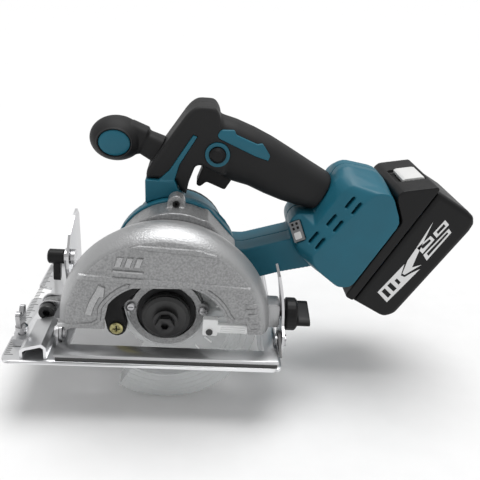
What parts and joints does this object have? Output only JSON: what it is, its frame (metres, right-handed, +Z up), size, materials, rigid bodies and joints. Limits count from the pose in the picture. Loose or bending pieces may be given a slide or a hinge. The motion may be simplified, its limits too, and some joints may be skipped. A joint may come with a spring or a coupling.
{
  "type": "cordless circular saw",
  "caption": "Compact cordless circular saw on a tilting steel base: cast upper guard, clear swinging lower guard, slide-on battery, ball front knob, no blade fitted",
  "frame": {"origin": "middle of the base's flat underside", "axes": "+X from the front of the base to the battery, +Y away from the blade side, +Z up"},
  "size_m": [0.3434, 0.155, 0.2128],
  "materials": {
    "base_plate": "bright zinc plate",
    "battery_case_lower": "moulded",
    "battery_case_upper": "moulded",
    "battery_cells": "sleeved cells",
    "battery_housing_far": "moulded, light texture",
    "battery_housing_near": "moulded, light texture",
    "battery_release": "moulded",
    "bearing_retainer": "die cast, bead blasted",
    "bearing_seal": "soft overmould, matt",
    "bevel_bracket": "bright zinc plate",
    "bevel_clamp_bolt": "machined",
    "bevel_clamp_lever": "moulded",
    "bevel_post": "bright zinc plate",
    "blade_bolt": "black oxide",
    "bracket_screw": "black oxide",
    "control_board": "circuit board",
    "cooling_fan": "moulded",
    "depth_guide": "bright zinc plate",
    "depth_pivot_screw": "black oxide",
    "depth_wing_knob": "moulded",
    "fence_bracket": "bright zinc plate",
    "fence_thumb_screw": "machined",
    "front_bevel_pin": "machined",
    "front_bracket_far": "moulded, light texture",
    "front_bracket_near": "moulded, light texture",
    "front_knob": "soft overmould, matt",
    "gear_case": "die cast, bead blasted",
    "grip_far": "soft overmould, matt",
    "grip_near": "soft overmould, matt",
    "grip_screw": "machined",
    "guard_lever": "clear plastic",
    "guard_lever_screw": "black oxide",
    "guard_stop_arm": "soft overmould, matt",
    "guard_stop_screw": "yellow zinc plate",
    "indicator_panel": "moulded",
    "inner_flange": "black oxide",
    "knob_core": "moulded, light texture",
    "lock_off_button": "moulded",
    "lock_off_sleeve": "moulded, light texture",
    "lower_guard": "clear plastic",
    "lower_guard_spring": "machined",
    "motor_end_cap": "moulded",
    "motor_housing": "moulded, light texture",
    "outer_flange": "black oxide",
    "rear_bevel_ear": "black oxide",
    "rear_bevel_pin": "machined",
    "retainer_screw_1": "machined",
    "retainer_screw_2": "machined",
    "rotor_bearing": "machined",
    "rotor_core": "machined",
    "rotor_shaft": "machined",
    "spindle": "machined",
    "spindle_bearing": "machined",
    "spindle_gear": "machined",
    "spindle_lock": "moulded",
    "stator": "wound copper",
    "terminal_block": "moulded",
    "trigger": "moulded",
    "trigger_switch": "moulded",
    "upper_guard": "die cast, bead blasted"
  },
  "bodies": {
    "base": {"base_plate": "base_plate", "fence_bracket": "fence_bracket", "bevel_post": "bevel_post", "rear_bevel_ear": "rear_bevel_ear", "front_bevel_pin": "front_bevel_pin", "rear_bevel_pin": "rear_bevel_pin", "bevel_clamp_bolt": "bevel_clamp_bolt"},
    "fence_screw": {"fence_thumb_screw": "fence_thumb_screw"},
    "bevel_lever": {"bevel_clamp_lever": "bevel_clamp_lever"},
    "bevel_frame": {"bevel_bracket": "bevel_bracket", "depth_guide": "depth_guide", "depth_pivot_screw": "depth_pivot_screw"},
    "depth_knob": {"depth_wing_knob": "depth_wing_knob"},
    "guard": {"lower_guard": "lower_guard", "guard_lever": "guard_lever", "guard_lever_screw": "guard_lever_screw"},
    "arbor": {"spindle": "spindle", "spindle_gear": "spindle_gear", "inner_flange": "inner_flange", "outer_flange": "outer_flange", "blade_bolt": "blade_bolt"},
    "rotor": {"rotor_shaft": "rotor_shaft", "rotor_core": "rotor_core", "cooling_fan": "cooling_fan"},
    "trigger_lever": {"trigger": "trigger"},
    "lock_off": {"lock_off_button": "lock_off_button"},
    "spindle_stop": {"spindle_lock": "spindle_lock"},
    "battery": {"battery_case_lower": "battery_case_lower", "battery_case_upper": "battery_case_upper", "battery_cells": "battery_cells"},
    "battery_button": {"battery_release": "battery_release"},
    "saw_body": {"battery_housing_far": "battery_housing_far", "battery_housing_near": "battery_housing_near", "bearing_retainer": "bearing_retainer", "bearing_seal": "bearing_seal", "bracket_screw": "bracket_screw", "control_board": "control_board", "front_bracket_far": "front_bracket_far", "front_bracket_near": "front_bracket_near", "front_knob": "front_knob", "gear_case": "gear_case", "grip_far": "grip_far", "grip_near": "grip_near", "grip_screw": "grip_screw", "guard_stop_arm": "guard_stop_arm", "guard_stop_screw": "guard_stop_screw", "indicator_panel": "indicator_panel", "knob_core": "knob_core", "lock_off_sleeve": "lock_off_sleeve", "lower_guard_spring": "lower_guard_spring", "motor_end_cap": "motor_end_cap", "motor_housing": "motor_housing", "retainer_screw_1": "retainer_screw_1", "retainer_screw_2": "retainer_screw_2", "rotor_bearing": "rotor_bearing", "spindle_bearing": "spindle_bearing", "stator": "stator", "terminal_block": "terminal_block", "trigger_switch": "trigger_switch", "upper_guard": "upper_guard"}
  },
  "joints": [
    {"name": "fence_screw_turn", "type": "hinge", "parent": "base", "child": "fence_screw", "pos_m": [-0.091, -0.052, 0.01], "axis": [0, 0, 1], "continuous": true},
    {"name": "bevel_lever_turn", "type": "hinge", "parent": "base", "child": "bevel_lever", "pos_m": [-0.075, -0.015, 0.054], "axis": [1, 0, 0], "range_deg": [0, 80]},
    {"name": "bevel_tilt", "type": "hinge", "parent": "base", "child": "bevel_frame", "pos_m": [0, -0.05, 0.01], "axis": [1, 0, 0], "range_deg": [0, 45]},
    {"name": "depth_tilt", "type": "hinge", "parent": "bevel_frame", "child": "saw_body", "pos_m": [-0.078, -0.021, 0.015], "axis": [0, -1, 0], "range_deg": [0, 9.5]},
    {"name": "depth_knob_turn", "type": "hinge", "parent": "saw_body", "child": "depth_knob", "pos_m": [0.1, -0.038, 0.026], "axis": [1, 0, 0], "continuous": true},
    {"name": "lower_guard_swing", "type": "hinge", "parent": "saw_body", "child": "guard", "pos_m": [0.012, -0.045, 0.024], "axis": [0, -1, 0], "range_deg": [0, 96], "stiffness_Nm_per_rad": 0.12, "springref_deg": -45.84},
    {"name": "arbor_spin", "type": "hinge", "parent": "saw_body", "child": "arbor", "pos_m": [0.012, -0.045, 0.024], "axis": [0, 1, 0], "continuous": true},
    {"name": "rotor_spin", "type": "hinge", "parent": "saw_body", "child": "rotor", "pos_m": [0.01618, -0.045, 0.05371], "axis": [0, 1, 0], "continuous": true},
    {"name": "trigger_pull", "type": "hinge", "parent": "saw_body", "child": "trigger_lever", "pos_m": [0.057, 0.023, 0.122], "axis": [0, 1, 0], "range_deg": [0, 8], "stiffness_Nm_per_rad": 0.3, "springref_deg": -11.46},
    {"name": "lock_off_push", "type": "slide", "parent": "saw_body", "child": "lock_off", "axis": [0, 1, 0], "range_m": [0, 0.003], "stiffness_N_per_m": 300, "springref_m": -0.002},
    {"name": "spindle_lock_push", "type": "slide", "parent": "saw_body", "child": "spindle_stop", "axis": [-1, 0, 0], "range_m": [0, 0.003], "stiffness_N_per_m": 300, "springref_m": -0.002},
    {"name": "battery_slide", "type": "slide", "parent": "saw_body", "child": "battery", "axis": [0.4695, 0, 0.8829], "range_m": [0, 0.075]},
    {"name": "battery_button_push", "type": "slide", "parent": "battery", "child": "battery_button", "axis": [-0.9828, 0, -0.1849], "range_m": [0, 0.004], "stiffness_N_per_m": 400, "springref_m": -0.002}
  ],
  "couplings": [
    {"joint": "arbor_spin", "follows": "rotor_spin", "ratio": -0.25}
  ]
}
